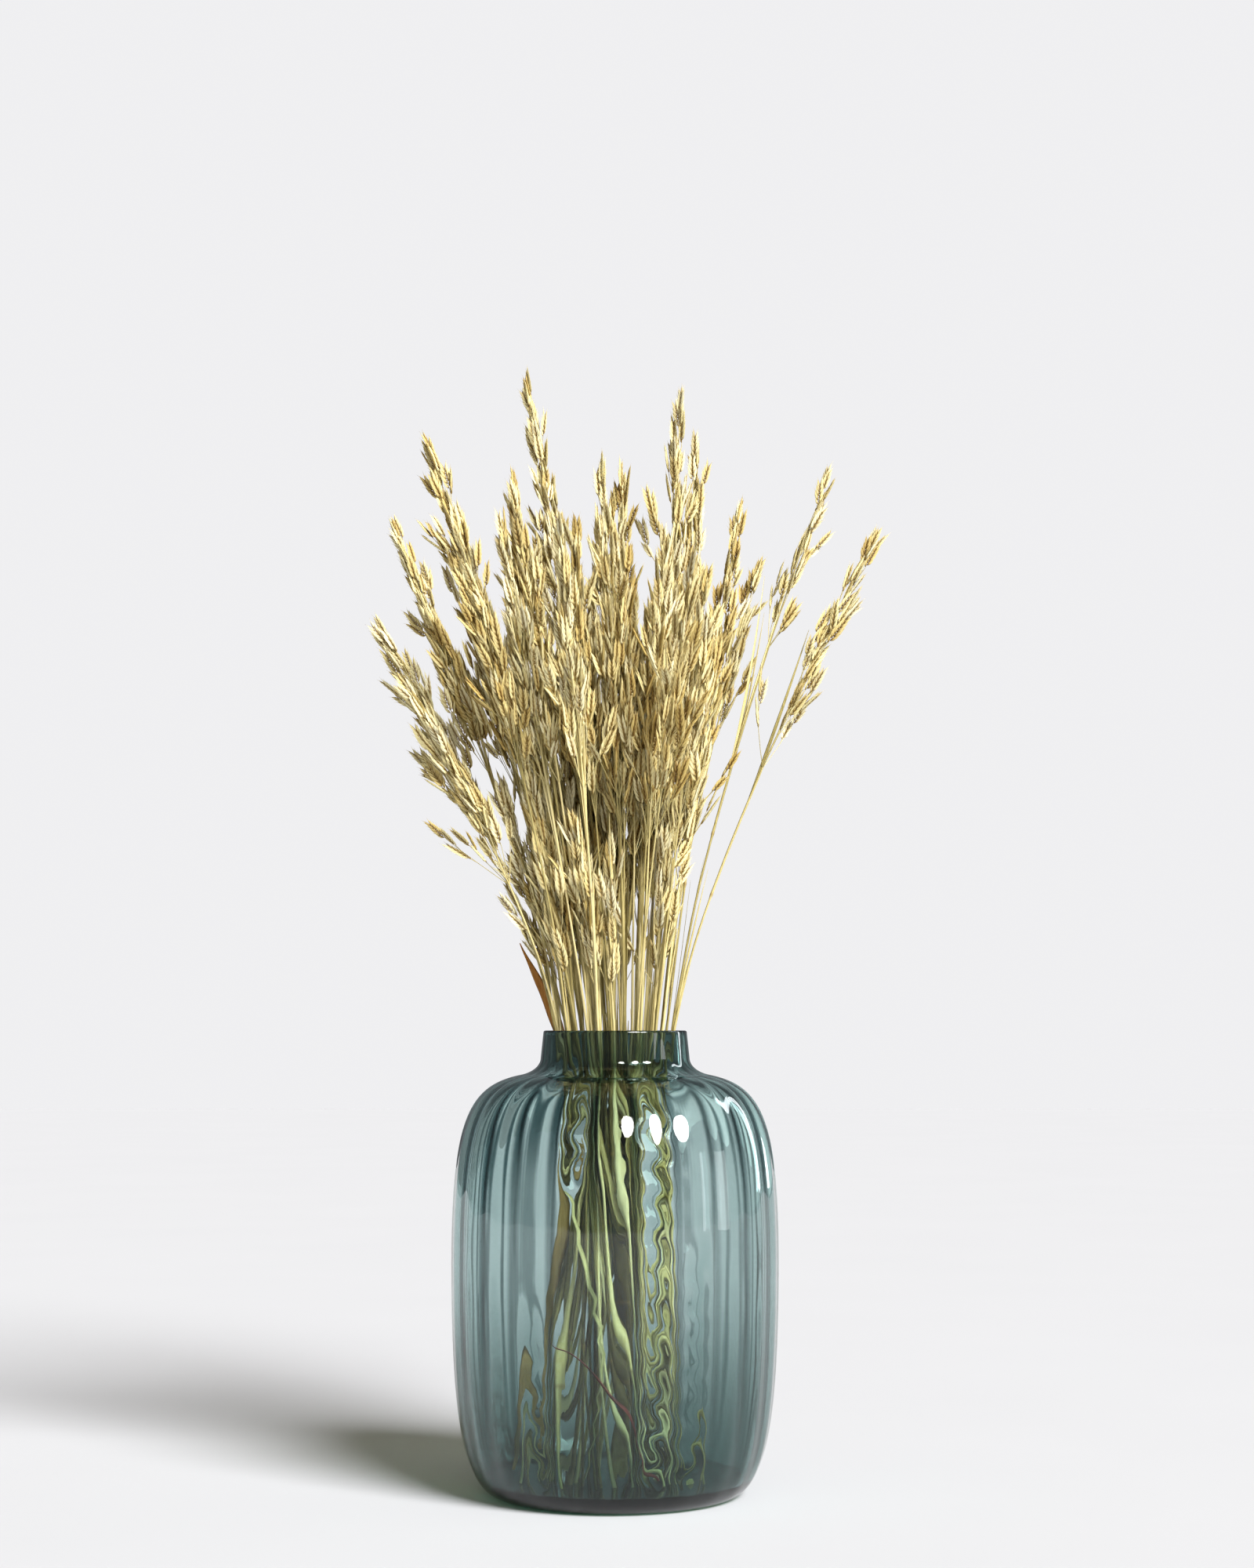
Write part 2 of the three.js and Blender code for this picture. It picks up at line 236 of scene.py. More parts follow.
FLOOR_SIZE = 14
floor = flat_sheet("floor", FLOOR_SIZE)
floor_paint, tree = new_material("pale_floor")
grain = Wire.node(tree, "ShaderNodeTexNoise", None, {
    "Vector": Wire.node(tree, "ShaderNodeTexCoord", output=3), "Scale": 60.0 / FLOOR_SIZE,
    "Detail": 3.0})
shade = Wire.node(tree, "ShaderNodeMix", {"data_type": "RGBA"}, {
    0: grain, 6: (0.612, 0.627, 0.668, 1), 7: (0.632, 0.647, 0.688, 1)}, output=2)
finish_material(tree, Wire.node(tree, "ShaderNodeBsdfPrincipled", None, {
    "Base Color": shade, "Roughness": 0.9, "Specular IOR Level": 0.1}))
floor.data.materials.append(floor_paint)


# ---- Glass vase -------------------------------------------------------------------------------
# A jar blown into a ribbed mould from teal glass, with a thick foot, a round shoulder, a short
# neck and a fire-polished rim. Its ribs run up all round, and the wavy ones bend what is behind.
VASE_HEIGHT = vase_high[2] - vase_low[2]
RIB_OUT = 0.5 * MM
BODY_RADIUS = (vase_high[0] - vase_low[0]) / 2 - RIB_OUT
FOOT_RADIUS = BODY_RADIUS - 27.5 * MM
NECK_RADIUS = BODY_RADIUS - 50 * MM
MOUTH_RADIUS = NECK_RADIUS - 1.5 * MM
SHOULDER = VASE_HEIGHT - 25 * MM  # the height where the shoulder turns up into the neck
WIDEST = 120 * MM  # the height where the body is widest
WALL = 3.0 * MM
FOOT_THICKNESS = 9 * MM
RIBS = 24
LENS = -0.3  # mm: inside, a plain rib follows the outside, so stems look nearly straight
WAVY_RIBS = [  # angle round the vase in radians, half width, lowest and highest place, depth in mm
    (-1.31, 0.17, 0.00, 0.24, 1.2), (-2.06, 0.12, 0.00, 0.12, 1.0), (-1.05, 0.12, 0.00, 0.15, 1.0),
    (-1.81, 0.12, 0.17, 0.24, 1.0), (1.05, 0.14, 0.02, 0.20, 1.0), (2.62, 0.14, 0.00, 0.13, 1.0),
    (1.83, 0.12, 0.10, 0.24, 1.0), (0.0, 0.14, 0.00, 0.16, 1.0),
]


def bezier(points, steps):
    """Points along a Bezier curve of any degree, without its first one."""
    made = []
    degree = len(points) - 1
    for step in range(1, steps + 1):
        t = step / steps
        weights = [math.comb(degree, k) * t**k * (1 - t) ** (degree - k) for k in range(degree + 1)]
        made.append(tuple(sum(w * p[axis] for w, p in zip(weights, points)) for axis in (0, 1)))
    return made


def vase_outline():
    """The outside from the middle of the foot to the lip, as (radius, height)."""
    hollow = 1.6 * MM
    points = [(0, hollow), (FOOT_RADIUS * 0.55, hollow * 0.9), (FOOT_RADIUS - 5 * MM, 0.3 * MM),
              (FOOT_RADIUS - 3 * MM, 0), (FOOT_RADIUS - 0.5 * MM, 0.05 * MM)]
    points += bezier([points[-1], (FOOT_RADIUS + 20 * MM, 2 * MM), (BODY_RADIUS - 1 * MM, 42 * MM),
                      (BODY_RADIUS, WIDEST)], 40)
    points += bezier([points[-1], (BODY_RADIUS + 1 * MM, SHOULDER - 25 * MM),
                      (BODY_RADIUS - 8.5 * MM, SHOULDER - 6 * MM),
                      (NECK_RADIUS + 10 * MM, SHOULDER)], 44)
    points += bezier([points[-1], (NECK_RADIUS + 1.5 * MM, SHOULDER + 2.5 * MM),
                      (NECK_RADIUS, SHOULDER + 8 * MM)], 10)
    lip = (MOUTH_RADIUS, VASE_HEIGHT - 1.3 * MM)
    points += bezier([points[-1], lip], 8)
    return points


def ramp(value, low, high):
    """0 below low, 1 above high and a straight line between them."""
    return min(max((value - low) / (high - low), 0), 1)


def inward(outline, wall):
    """The outline moved in by the wall, from the lip down to the floor of the inside."""
    inside = []
    for i in range(len(outline)):
        before, after = outline[max(i - 1, 0)], outline[min(i + 1, len(outline) - 1)]
        along = np.subtract(after, before)
        along = along / np.linalg.norm(along)
        radius, height = outline[i][0] - wall * along[1], outline[i][1] + wall * along[0]
        if height > FOOT_THICKNESS + 2 * MM:
            inside.append((radius, height))
    inside.reverse()
    corner = inside[-1]
    floor_edge = corner[0] - 6 * MM
    bend = (corner[0] - 1.5 * MM, FOOT_THICKNESS)
    inside += bezier([corner, bend, (floor_edge, FOOT_THICKNESS)], 5)
    inside += [(floor_edge * 0.6, FOOT_THICKNESS + 0.6 * MM), (0, FOOT_THICKNESS + 1.5 * MM)]
    return inside


def turned(name, rings, sides, ripple):
    """A closed body turned about the Z axis. ripple(ring, angle) is added to each radius."""
    points = []
    faces = []
    starts = []
    for ring, (radius, height) in enumerate(rings):
        starts.append(len(points))
        if radius == 0:
            points.append((0, 0, height))
            continue
        for side in range(sides):
            angle = 2 * math.pi * side / sides
            out = radius + ripple(ring, angle)
            points.append((out * math.cos(angle), out * math.sin(angle), height))
    for ring in range(len(rings) - 1):
        low, high = starts[ring], starts[ring + 1]
        for side in range(sides):
            after = (side + 1) % sides
            if rings[ring][0] == 0:
                faces.append((low, high + after, high + side))
            elif rings[ring + 1][0] == 0:
                faces.append((low + side, low + after, high))
            else:
                faces.append((low + side, low + after, high + after, high + side))
    mesh = bpy.data.meshes.new(name)
    mesh.from_pydata(points, [], faces)
    mesh.polygons.foreach_set("use_smooth", [True] * len(mesh.polygons))
    body = bpy.data.objects.new(name, mesh)
    bpy.context.scene.collection.objects.link(body)
    return body


outside = vase_outline()
inside = inward(outside, WALL)
lip_middle = (MOUTH_RADIUS - WALL / 2, VASE_HEIGHT)
rim = bezier([outside[-1], (MOUTH_RADIUS, VASE_HEIGHT), lip_middle], 4)
rim += bezier([lip_middle, (MOUTH_RADIUS - WALL, VASE_HEIGHT), inside[0]], 4)[:-1]


def rib_depth(ring, angle):
    """Ribs fade at the foot and the lip. Inside they follow the outside, but for the wavy ones."""
    radius, height = vase_rings[ring]
    fade = ramp(height, 2 * MM, 27 * MM)
    if radius < FOOT_RADIUS * 0.8:
        in_neck = height > WIDEST
        fade = 0.45 - 0.3 * ramp(height, SHOULDER + 8 * MM, SHOULDER + 24 * MM) if in_neck else 0
    if ring < len(outside) + len(rim) // 2:
        return fade * RIB_OUT * 0.9 * math.cos(RIBS * angle)
    lens = LENS
    for middle_angle, width, low, high, depth in WAVY_RIBS:
        off = (angle - middle_angle + math.pi) % (2 * math.pi) - math.pi
        rise = ramp(height, low, low + 20 * MM) * (1 - ramp(height, high - 30 * MM, high))
        lens += depth * rise * math.exp(-((off / width) ** 2))
    wander = (lens - LENS) * math.sin(2 * math.pi * height / (18 * MM) + math.sin(5 * angle))
    wander += 0.1 * math.sin(2 * math.pi * height / (61 * MM) + 5 * angle)
    return -fade * lens * MM * math.cos(RIBS * angle + wander)


vase_rings = outside + rim + inside
SIDES_PER_RIB = 12
vase = turned("blown_vase", vase_rings, RIBS * SIDES_PER_RIB, rib_depth)

glass, tree = new_material("teal_glass")
place = Wire.node(tree, "ShaderNodeTexCoord", output=3)
east = Wire.node(tree, "ShaderNodeSeparateXYZ", None, {"Vector": place})
north, height = (Wire(east.socket.node.outputs[axis]) for axis in (1, 2))
turn = north.math("ARCTAN2", north, east) * RIBS
wave = turn.math("COSINE", turn)
ripple = Wire.node(tree, "ShaderNodeTexNoise", None, {
    "Vector": Wire.node(tree, "ShaderNodeMapping", None, {"Vector": place, "Scale": (1, 1, 0.25)}),
    "Scale": 26.0, "Detail": 1.0})
wavy = Wire.node(tree, "ShaderNodeBump", None, {
    "Strength": 0.12, "Distance": 2 * MM, "Height": ripple})
# Painted shade: the glass itself is one even teal, tinted by its volume, and the colour below
# paints light and shade into it. Dark painted lines lie in the rib grooves, strongest on the
# shoulder and near the foot.
shoulder = height.between(150 * MM, 222 * MM)
foot = 1 - height.between(0.0, 140 * MM)
groove_shade = (0 - wave).between(0.62 - shoulder * 0.25, 1.0) * (0.62 + shoulder * 0.38 + foot * 0.3)
# Painted shade towards both sides and painted light on the right: the groove lines darken towards
# the edges and fade on the right, where the light falls.
edge_shade = east.math("ABSOLUTE", east).between(0.045, 0.09)
groove_shade = groove_shade * (1 - east.between(0.005, 0.06) * 0.4 + edge_shade * 0.7)
# Painted shade over the neck: a darker band from just below the turn of the shoulder upward.
neck = height.between(SHOULDER - 4 * MM, SHOULDER + 5 * MM) * (0.75 + ripple * 0.3)
body = Wire.node(tree, "ShaderNodeMix", {"data_type": "RGBA"}, {
    0: groove_shade, 6: (0.97, 0.99, 0.99, 1), 7: (0.07, 0.13, 0.14, 1)}, output=2)
# Painted shade near the foot: the lower glass is mixed towards a deep dark teal.
foot_shade = Wire.node(tree, "ShaderNodeMix", {"data_type": "RGBA"}, {
    0: foot * 0.9, 6: body, 7: (0.20, 0.31, 0.30, 1)}, output=2)
shaded_glass = Wire.node(tree, "ShaderNodeMix", {"data_type": "RGBA"}, {
    0: neck, 6: foot_shade, 7: (0.14, 0.20, 0.19, 1)}, output=2)
clear = Wire.node(tree, "ShaderNodeBsdfPrincipled", None, {
    "Base Color": shaded_glass, "Roughness": 0.0, "IOR": 1.5, "Transmission Weight": 1.0, "Normal": wavy})
light_through = Wire.node(tree, "ShaderNodeBsdfTransparent", None, {"Color": (0.54, 0.52, 0.41, 1)})
shadow_ray = Wire.node(tree, "ShaderNodeLightPath", output=1)
skin = Wire.node(tree, "ShaderNodeMixShader", None, {0: shadow_ray, 1: clear, 2: light_through})
tint = Wire.node(tree, "ShaderNodeVolumeAbsorption", None, {
    "Color": (0.18, 0.46, 0.44, 1), "Density": 155.0})
finish_material(tree, skin, tint)
vase.data.materials.append(glass)
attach(vase, "root")
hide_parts("glass_vase")


# ---- Spikelets --------------------------------------------------------------------------------
# A spikelet is 8 to 10 dry husks in two rows that overlap like herringbone, the lowest and the top
# ones smaller. Each husk is a keeled boat that ends in a short stiff awn.
def husk_mesh(name, length, awn):
    """One husk, upright on the origin, with its keel towards +X. "along" runs from 0 to 1."""
    stations = [  # share of the length, depth of the keel, half thickness, lean outwards
        (0.00, 0.45, 0.30, 0.00), (0.25, 1.25, 0.78, 0.06), (0.62, 1.05, 0.64, 0.07),
        (1.00, 0.13, 0.11, -0.05),
    ]
    points, along, across, faces = [], [], [], []
    for share, keel, half, lean in stations:
        ring = [(keel, 0, 0), (0.15 * keel, half, 0.6), (-0.6 * keel, 0.45 * half, 1),
                (-0.6 * keel, -0.45 * half, 1), (0.15 * keel, -half, 0.6)]
        for x, y, edge in ring:
            points.append(((lean + x) * MM, y * MM, share * length))
            along.append(share)
            across.append(edge)
    sides = 5
    points.append((0.45 * MM, 0, length + awn))
    along.append(1.25)
    across.append(0)
    for station in range(len(stations) - 1):
        low, high = station * sides, (station + 1) * sides
        for side in range(sides):
            after = (side + 1) % sides
            faces.append((low + side, low + after, high + after, high + side))
    top = (len(stations) - 1) * sides
    for side in range(sides):
        faces.append((top + side, top + (side + 1) % sides, len(points) - 1))
    faces.append(tuple(reversed(range(sides))))
    mesh = bpy.data.meshes.new(name)
    mesh.from_pydata(points, [], faces)
    mesh.polygons.foreach_set("use_smooth", [True] * len(mesh.polygons))
    keel_edge = [all(across[v] == 0 for v in edge.vertices) for edge in mesh.edges]
    mesh.attributes.new("sharp_edge", "BOOLEAN", "EDGE").data.foreach_set("value", keel_edge)
    for column, values in (("along", along), ("across", across), ("husk", [1] * len(points))):
        mesh.attributes.new(column, "FLOAT", "POINT").data.foreach_set("value", values)
    husk = bpy.data.objects.new(name, mesh)
    bpy.context.scene.collection.objects.link(husk)
    return husk


def new_tree(name, inputs):
    """An empty geometry tree with named inputs, its input wires, and each input's identifier."""
    tree = bpy.data.node_groups.new(name, "GeometryNodeTree")
    tree.interface.new_socket("Geometry", in_out="INPUT", socket_type="NodeSocketGeometry")
    tree.interface.new_socket("Geometry", in_out="OUTPUT", socket_type="NodeSocketGeometry")
    identifiers = {}
    for label, kind in inputs.items():
        socket = tree.interface.new_socket(label, in_out="INPUT", socket_type=kind)
        identifiers[label] = socket.identifier
    entry = tree.nodes.new("NodeGroupInput")
    wires = {socket.name: Wire(socket) for socket in entry.outputs if socket.name}
    return tree, wires, identifiers


def end_tree(tree, geometry, material, selection=True):
    """Realizes the instances, sets the selected faces' material and closes the tree."""
    real = Wire.node(tree, "GeometryNodeRealizeInstances", None, {"Geometry": geometry})
    made = Wire.node(tree, "GeometryNodeSetMaterial", None, {
        "Geometry": real, "Selection": selection, "Material": material})
    leave = tree.nodes.new("NodeGroupOutput")
    tree.links.new(made.socket, leave.inputs[0])


def grow(name, seed_mesh, tree, identifiers, values):
    """Runs a geometry tree on a mesh and returns the result as a plain mesh."""
    holder = bpy.data.objects.new(name, seed_mesh)
    bpy.context.scene.collection.objects.link(holder)
    modifier = holder.modifiers.new(name, "NODES")
    modifier.node_group = tree
    for label, value in values.items():
        modifier[identifiers[label]] = value
    ready = bpy.context.evaluated_depsgraph_get()
    mesh = bpy.data.meshes.new_from_object(holder.evaluated_get(ready))
    mesh.name = name
    bpy.data.objects.remove(holder)
    return mesh


straw, tree = new_material("dry_straw")
place = Wire.node(tree, "ShaderNodeTexCoord", output=3)
along, across, hue = (
    Wire.node(tree, "ShaderNodeAttribute", {"attribute_name": name}, output=2)
    for name in ("along", "across", "hue"))
mottle = Wire.node(tree, "ShaderNodeTexNoise", None, {
    "Vector": place, "Scale": 520.0, "Detail": 3.0})
patch = Wire.node(tree, "ShaderNodeTexNoise", None, {
    "Vector": place, "Scale": 38.0, "Detail": 2.0})
ripe = Wire.node(tree, "ShaderNodeValToRGB", {"stops": [
    (0.0, (0.40, 0.26, 0.06)), (0.3, (0.68, 0.53, 0.19)), (0.6, (0.91, 0.82, 0.43)),
    (1.0, (1.00, 0.96, 0.68))]}, {0: hue * 0.8 + patch * 0.5 + mottle * 0.3 - 0.24})
shadow = Wire.node(tree, "ShaderNodeMix", {"data_type": "RGBA", "blend_type": "MULTIPLY"}, {
    0: across.between(0.5, 1.0) * 0.8 + (1 - along.between(0.0, 0.45)) * 0.6,
    6: ripe, 7: (0.28, 0.18, 0.05, 1)}, output=2)
awn = Wire.node(tree, "ShaderNodeMix", {"data_type": "RGBA"}, {
    0: along.between(0.97, 1.15) * 0.7, 6: shadow, 7: (0.50, 0.36, 0.16, 1)}, output=2)
crease = Wire.node(tree, "ShaderNodeBump", None, {
    "Strength": 0.3, "Distance": 0.0004, "Height": mottle})
dull = Wire.node(tree, "ShaderNodeBsdfPrincipled", None, {
    "Base Color": awn, "Roughness": 0.42 + mottle * 0.25, "Specular IOR Level": 0.35,
    "Normal": crease})
glow = Wire.node(tree, "ShaderNodeBsdfTranslucent", None, {"Color": (0.86, 0.72, 0.38, 1)})
finish_material(tree, Wire.node(tree, "ShaderNodeMixShader", None, {0: 0.15, 1: dull, 2: glow}))

spikelet_tree, given, spikelet_ids = new_tree("spikelet", {
    "Husk": "NodeSocketObject", "Husks": "NodeSocketInt", "Internode": "NodeSocketFloat",
    "Spread": "NodeSocketFloat", "Seed": "NodeSocketInt"})
tree = spikelet_tree
rise = Wire.node(tree, "ShaderNodeCombineXYZ", None, {"Z": given["Internode"]})
row = Wire.node(tree, "GeometryNodeMeshLine", None, {"Count": given["Husks"], "Offset": rise})
index = Wire.node(tree, "GeometryNodeInputIndex")
share = index / given["Husks"]
side = index.math("MODULO", index, 2.0)
jitter = Wire.node(tree, "FunctionNodeRandomValue", {"data_type": "FLOAT"}, {
    2: -0.05, 3: 0.05, "Seed": given["Seed"]}, output=1)
tilt = given["Spread"] * (1 - share * 0.5) + jitter
turn = Wire.node(tree, "ShaderNodeCombineXYZ", None, {
    "X": jitter * 1.3, "Y": tilt, "Z": side * math.pi + jitter})
growing = index * 0.17 + 0.66
size = growing.math("MINIMUM", growing, 1.0) * (1 - share * 0.3)
seed_husk = Wire.node(tree, "GeometryNodeObjectInfo", None, {"Object": given["Husk"]}, output=4)
husks = Wire.node(tree, "GeometryNodeInstanceOnPoints", None, {
    "Points": row, "Instance": seed_husk,
    "Rotation": Wire.node(tree, "FunctionNodeEulerToRotation", None, {"Euler": turn}),
    "Scale": Wire.node(tree, "ShaderNodeCombineXYZ", None, {"X": size, "Y": size, "Z": size})})
apart = Wire.node(tree, "GeometryNodeTranslateInstances", None, {
    "Instances": husks, "Translation": (0.22 * MM, 0, 0)})
end_tree(tree, apart, straw)

HUSK_LENGTH = 7.3 * MM
AWN_LENGTH = 3.0 * MM
husk = husk_mesh("husk", HUSK_LENGTH, AWN_LENGTH)
spikelets = bpy.data.collections.new("spikelets")
SPIKELETS = [  # husks, internode in mm, spread in degrees
    (10, 1.35, 21), (9, 1.45, 24), (10, 1.3, 18), (8, 1.3, 13), (9, 1.35, 27), (10, 1.4, 19),
]
for kind, (count, internode, spread) in enumerate(SPIKELETS):
    blank = bpy.data.meshes.new("blank")
    mesh = grow(f"spikelet_{kind}", blank, spikelet_tree, spikelet_ids, {
        "Husk": husk, "Husks": count, "Internode": internode * MM,
        "Spread": math.radians(spread), "Seed": kind})
    spikelets.objects.link(bpy.data.objects.new(f"spikelet_{kind}", mesh))


# ---- Stems ------------------------------------------------------------------------------------
# Each stem is one hollow culm with a few swollen knees. At its top it divides into whorls of hair-
# thin branches, and each branch carries one to three spikelets.
PANICLE_RING = 7  # the ring of a stem's solid where the culm ends and the panicle starts
PANICLE_DROP = 32 * MM  # how far below that ring the lowest branches may start
CULM_RADII = [1.05 * MM, 0.55 * MM, 0.2 * MM]  # at the foot, below the panicle and at the tip
KNEE_SWELL = 0.35 * MM
KNEE_REACH = 1.6 * MM
SHEATH = 0.15 * MM
SHEATH_LENGTH = 70 * MM
RING_GAP = 4 * MM  # the rings of a stem's solid are further apart than this


def centre_line(node):
    """A stem's axis from its solid: the middle of each ring of points."""
    mesh = frame["nodes"][node].data
    points = np.unique(np.round([tuple(v.co) for v in mesh.vertices], 6), axis=0)
    points = points[np.argsort(points[:, 2])]
    cuts = np.where(np.diff(points[:, 2]) > RING_GAP)[0] + 1
    return [ring.mean(axis=0) for ring in np.split(points, cuts)]


def smooth_path(knots, steps):
    """A Catmull-Rom curve through the knots, as an array of points."""
    knots = np.array(knots)
    ends = np.vstack([2 * knots[0] - knots[1], knots, 2 * knots[-1] - knots[-2]])
    made = []
    for i in range(1, len(ends) - 2):
        a, b, c, d = ends[i - 1:i + 3]
        for step in range(steps):
            t = step / steps
            made.append(0.5 * (2 * b + (c - a) * t + (2 * a - 5 * b + 4 * c - d) * t**2
                               + (3 * b - a - 3 * c + d) * t**3))
    made.append(ends[-2])
    return np.array(made)


def unit(vector):
    return vector / np.linalg.norm(vector)


class Skeleton:
    """Branches as runs of edges, and the sites where spikelets sit, for the stem tree.

    Each point has a girth, which is a radius or a blade's half width, a hue from dark to pale, and
    joint, flat or site set to 1 at a knee, on a blade or where a spikelet of a size and kind sits.
    """

    def __init__(self):
        self.points, self.edges = [], []
        columns = ("girth", "hue", "joint", "flat", "site", "size", "kind")
        self.values = {name: [] for name in columns}
        self.aims, self.sides = [], []

    def add_point(self, place, aim=(0, 0, 1), side=(1, 0, 0), **values):
        self.points.append(tuple(place))
        self.aims.append(tuple(aim))
        self.sides.append(tuple(side))
        for name, column in self.values.items():
            column.append(values.get(name, 0))

    def add_run(self, places, girths, **values):
        start = len(self.points)
        for place, girth in zip(places, girths):
            self.add_point(place, girth=girth, **values)
        self.edges += [(start + i, start + i + 1) for i in range(len(places) - 1)]

    def mesh(self, name):
        mesh = bpy.data.meshes.new(name)
        mesh.from_pydata(self.points, self.edges, [])
        for column, values in self.values.items():
            mesh.attributes.new(column, "FLOAT", "POINT").data.foreach_set("value", values)
        for column, vectors in (("aim", self.aims), ("side", self.sides)):
            attribute = mesh.attributes.new(column, "FLOAT_VECTOR", "POINT")
            attribute.data.foreach_set("vector", np.array(vectors).ravel())
        return mesh


culm_skin, tree = new_material("dry_culm")
place = Wire.node(tree, "ShaderNodeTexCoord", output=3)
hue = Wire.node(tree, "ShaderNodeAttribute", {"attribute_name": "hue"}, output=2)
drawn = Wire.node(tree, "ShaderNodeMapping", None, {"Vector": place, "Scale": (1, 1, 0.03)})
fibre = Wire.node(tree, "ShaderNodeTexNoise", None, {
    "Vector": drawn, "Scale": 2400.0, "Detail": 2.0})
patch = Wire.node(tree, "ShaderNodeTexNoise", None, {"Vector": place, "Scale": 30.0, "Detail": 2.0})
height = Wire.node(tree, "ShaderNodeSeparateXYZ", None, {"Vector": place}, output=2)
# Painted shade inside the vase: culms below the rim are darker overall and spread wider between
# dark and pale, standing for the deep shade among the packed stems.
sunk_shade = 1 - height.between(SHOULDER - 20 * MM, VASE_HEIGHT)
tone = Wire.node(tree, "ShaderNodeValToRGB", {"stops": [
    (0.0, (0.13, 0.10, 0.03)), (0.35, (0.42, 0.35, 0.13)), (0.65, (0.68, 0.58, 0.27)),
    (1.0, (0.84, 0.77, 0.47))]}, {
        0: hue * (0.55 + sunk_shade * 0.75) + fibre * 0.5 + patch * 0.35 - 0.22 - sunk_shade * 0.48})
joint = Wire.node(tree, "ShaderNodeAttribute", {"attribute_name": "joint"}, output=2)
knotted = Wire.node(tree, "ShaderNodeMix", {"data_type": "RGBA"}, {
    0: joint * 0.6, 6: tone, 7: (0.30, 0.19, 0.07, 1)}, output=2)
furrow = Wire.node(tree, "ShaderNodeBump", None, {
    "Strength": 0.3, "Distance": 0.0003, "Height": fibre})
finish_material(tree, Wire.node(tree, "ShaderNodeBsdfPrincipled", None, {
    "Base Color": knotted, "Roughness": 0.34 + fibre * 0.25, "Specular IOR Level": 0.4,
    "Normal": furrow}))

stem_tree, given, stem_ids = new_tree("stem", {
    "Spikelets": "NodeSocketCollection", "Sides": "NodeSocketInt",
    "Blade Section": "NodeSocketObject"})
tree = stem_tree


def named(tree, name, kind="FLOAT"):
    """A named attribute of the mesh that the tree works on."""
    settings = {"data_type": kind}
    return Wire.node(tree, "GeometryNodeInputNamedAttribute", settings, {"Name": name})


def sort_out(tree, geometry, name):
    """Splits geometry in two: where a named attribute is set, and the rest."""
    parts = tree.nodes.new("GeometryNodeSeparateGeometry")
    tree.links.new(geometry.socket, parts.inputs["Geometry"])
    tree.links.new(named(tree, name).socket, parts.inputs["Selection"])
    return Wire(parts.outputs["Selection"]), Wire(parts.outputs["Inverted"])


def strips(tree, runs, section):
    """Flat blades along runs of edges, as wide as "girth" says and facing along "side"."""
    lines = Wire.node(tree, "GeometryNodeMeshToCurve", None, {"Mesh": runs})
    faced = Wire.node(tree, "GeometryNodeSetCurveNormal", {"mode": "FREE"}, {
        "Curve": lines, "Normal": named(tree, "side", "FLOAT_VECTOR")})
    outline = Wire.node(tree, "GeometryNodeMeshToCurve", None, {
        "Mesh": Wire.node(tree, "GeometryNodeObjectInfo", None, {"Object": section}, output=4)})
    blades = Wire.node(tree, "GeometryNodeCurveToMesh", None, {
        "Curve": faced, "Profile Curve": outline, "Scale": named(tree, "girth"), "Fill Caps": True})
    return Wire.node(tree, "GeometryNodeSetShadeSmooth", None, {"Geometry": blades})


def joined(tree, *geometries):
    join = tree.nodes.new("GeometryNodeJoinGeometry")
    for geometry in geometries:
        tree.links.new(geometry.socket, join.inputs[0])
    return Wire(join.outputs[0])


sites, runs = sort_out(tree, given["Geometry"], "site")
flat, round_runs = sort_out(tree, runs, "flat")
threads = Wire.node(tree, "GeometryNodeMeshToCurve", None, {"Mesh": round_runs})
section = Wire.node(tree, "GeometryNodeCurvePrimitiveCircle", None, {
    "Resolution": given["Sides"], "Radius": 1.0})
tubes = Wire.node(tree, "GeometryNodeCurveToMesh", None, {
    "Curve": threads, "Profile Curve": section, "Scale": named(tree, "girth"), "Fill Caps": True})
tubes = Wire.node(tree, "GeometryNodeSetShadeSmooth", None, {"Geometry": tubes})
upright = Wire.node(tree, "FunctionNodeAlignRotationToVector", {"axis": "Z"}, {
    "Vector": named(tree, "aim", "FLOAT_VECTOR")})
rolled = Wire.node(tree, "FunctionNodeAlignRotationToVector", {"axis": "X", "pivot_axis": "Z"}, {
    "Rotation": upright, "Vector": named(tree, "side", "FLOAT_VECTOR")})
size = named(tree, "size")
kinds = Wire.node(tree, "GeometryNodeCollectionInfo", None, {
    "Collection": given["Spikelets"], "Separate Children": True, "Reset Children": True})
seated = Wire.node(tree, "GeometryNodeInstanceOnPoints", None, {
    "Points": sites, "Instance": kinds, "Pick Instance": True,
    "Instance Index": named(tree, "kind"), "Rotation": rolled,
    "Scale": Wire.node(tree, "ShaderNodeCombineXYZ", None, {"X": size, "Y": size, "Z": size})})
whole = joined(tree, tubes, strips(tree, flat, given["Blade Section"]), seated)
end_tree(tree, whole, culm_skin, 1 - named(tree, "husk"))

folded = bpy.data.meshes.new("blade_section")
folded.from_pydata(
    [(-1, 0.24, 0), (-0.5, 0.06, 0), (0, -0.05, 0), (0.5, 0.06, 0), (1, 0.24, 0),
     (0.5, 0.12, 0), (0, 0.03, 0), (-0.5, 0.12, 0)],
    [(k, (k + 1) % 8) for k in range(8)], [])
blade_section = bpy.data.objects.new("blade_section", folded)
bpy.context.scene.collection.objects.link(blade_section)


def culm_girth(height, knees, base):
    """The culm's radius at a height: it tapers, swells at each knee and is sheathed above it."""
    girth = base
    for knee in knees:
        girth += KNEE_SWELL * math.exp(-((height - knee) / KNEE_REACH) ** 2)
        if knee < height < knee + SHEATH_LENGTH:
            girth += SHEATH
    return girth


